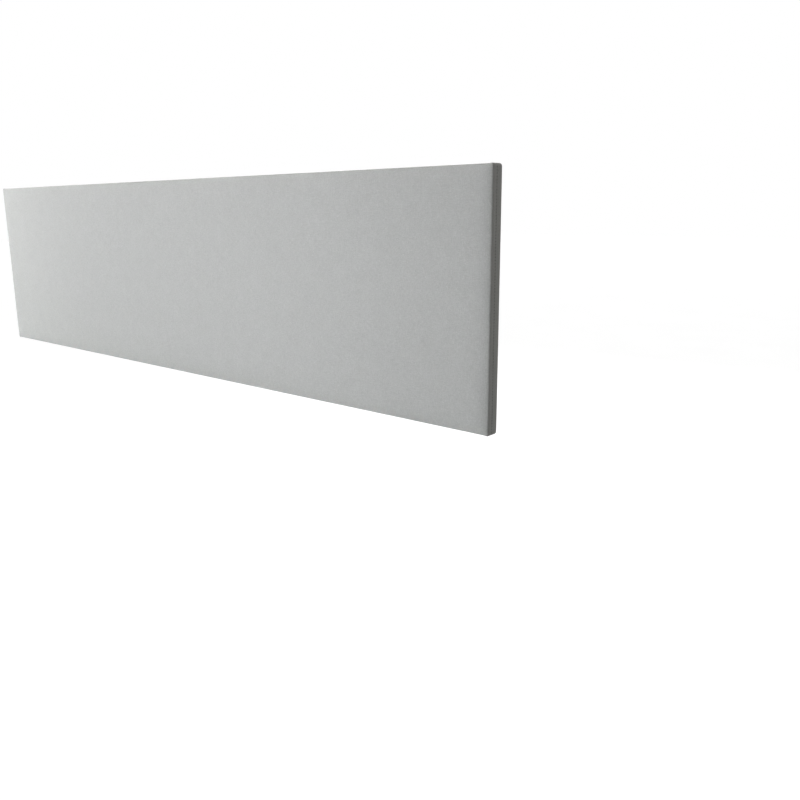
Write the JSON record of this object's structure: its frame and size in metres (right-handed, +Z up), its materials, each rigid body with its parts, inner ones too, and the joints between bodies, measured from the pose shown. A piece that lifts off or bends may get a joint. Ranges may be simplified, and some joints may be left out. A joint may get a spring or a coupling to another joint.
{
  "type": "acoustic desk screen",
  "caption": "Long fabric-covered acoustic screen that hangs on the rear edge of a desktop by screw clamps, with a framed and filled core.",
  "frame": {"origin": "middle of the desktop's rear edge, at the height of its top face: the screen's middle in X, y = 0 where the edge meets the fixing screws' heads, z = 0 under the grip pads", "axes": "+X along the screen, +Y from its outer face towards the desk's user, +Z up"},
  "size_m": [1.6, 0.0939, 0.4161],
  "materials": {
    "cover_fabric": "light grey felted wool blend",
    "foam": "open-cell foam sheet",
    "felt": "pressed fibre slab",
    "timber": "planed softwood",
    "beech": "fluted beech dowel",
    "black_steel": "fine textured powder coat",
    "zinc_steel": "bright zinc plate",
    "rubber": "matt black rubber",
    "black_plastic": "fine grained moulding"
  },
  "bodies": {
    "screen": {"outer_cover": "cover_fabric", "rear_cover": "cover_fabric", "outer_foam": "foam", "rear_foam": "foam", "bottom_rail": "timber", "top_rail": "timber", "left_stile": "timber", "right_stile": "timber", "left_mullion": "timber", "right_mullion": "timber", "left_infill": "felt", "middle_infill": "felt", "right_infill": "felt", "left_stile_bottom_dowel_a": "beech", "left_stile_bottom_dowel_b": "beech", "left_stile_top_dowel_a": "beech", "left_stile_top_dowel_b": "beech", "left_mullion_bottom_dowel_a": "beech", "left_mullion_bottom_dowel_b": "beech", "left_mullion_top_dowel_a": "beech", "left_mullion_top_dowel_b": "beech", "right_mullion_bottom_dowel_a": "beech", "right_mullion_bottom_dowel_b": "beech", "right_mullion_top_dowel_a": "beech", "right_mullion_top_dowel_b": "beech", "right_stile_bottom_dowel_a": "beech", "right_stile_bottom_dowel_b": "beech", "right_stile_top_dowel_a": "beech", "right_stile_top_dowel_b": "beech", "left_bracket": "black_steel", "left_grip_pad": "rubber", "left_weld_nut": "zinc_steel", "left_insert_upper_left": "zinc_steel", "left_fixing_screw_upper_left": "zinc_steel", "left_insert_upper_right": "zinc_steel", "left_fixing_screw_upper_right": "zinc_steel", "left_insert_lower_left": "zinc_steel", "left_fixing_screw_lower_left": "zinc_steel", "left_insert_lower_right": "zinc_steel", "left_fixing_screw_lower_right": "zinc_steel", "right_bracket": "black_steel", "right_grip_pad": "rubber", "right_weld_nut": "zinc_steel", "right_insert_upper_left": "zinc_steel", "right_fixing_screw_upper_left": "zinc_steel", "right_insert_upper_right": "zinc_steel", "right_fixing_screw_upper_right": "zinc_steel", "right_insert_lower_left": "zinc_steel", "right_fixing_screw_lower_left": "zinc_steel", "right_insert_lower_right": "zinc_steel", "right_fixing_screw_lower_right": "zinc_steel"},
    "left_pad": {"left_pad_cup": "zinc_steel", "left_pad_rubber": "rubber"},
    "left_screw": {"left_clamp_screw": "zinc_steel", "left_star_knob": "black_plastic"},
    "right_pad": {"right_pad_cup": "zinc_steel", "right_pad_rubber": "rubber"},
    "right_screw": {"right_clamp_screw": "zinc_steel", "right_star_knob": "black_plastic"}
  },
  "joints": [
    {"name": "left_pad_slide", "type": "slide", "parent": "screen", "child": "left_pad", "axis": [0, 0, 1], "range_m": [-0.015, 0.007]},
    {"name": "left_screw_turn", "type": "hinge", "parent": "left_pad", "child": "left_screw", "pos_m": [-0.5, 0.038, -0.03], "axis": [0, 0, 1], "range_deg": [-4320, 2016]},
    {"name": "right_pad_slide", "type": "slide", "parent": "screen", "child": "right_pad", "axis": [0, 0, 1], "range_m": [-0.015, 0.007]},
    {"name": "right_screw_turn", "type": "hinge", "parent": "right_pad", "child": "right_screw", "pos_m": [0.5, 0.038, -0.03], "axis": [0, 0, 1], "range_deg": [-4320, 2016]}
  ],
  "couplings": [
    {"joint": "left_screw_turn", "follows": "left_pad_slide", "rad_per_m": 5026.5},
    {"joint": "right_screw_turn", "follows": "right_pad_slide", "rad_per_m": 5026.5}
  ]
}
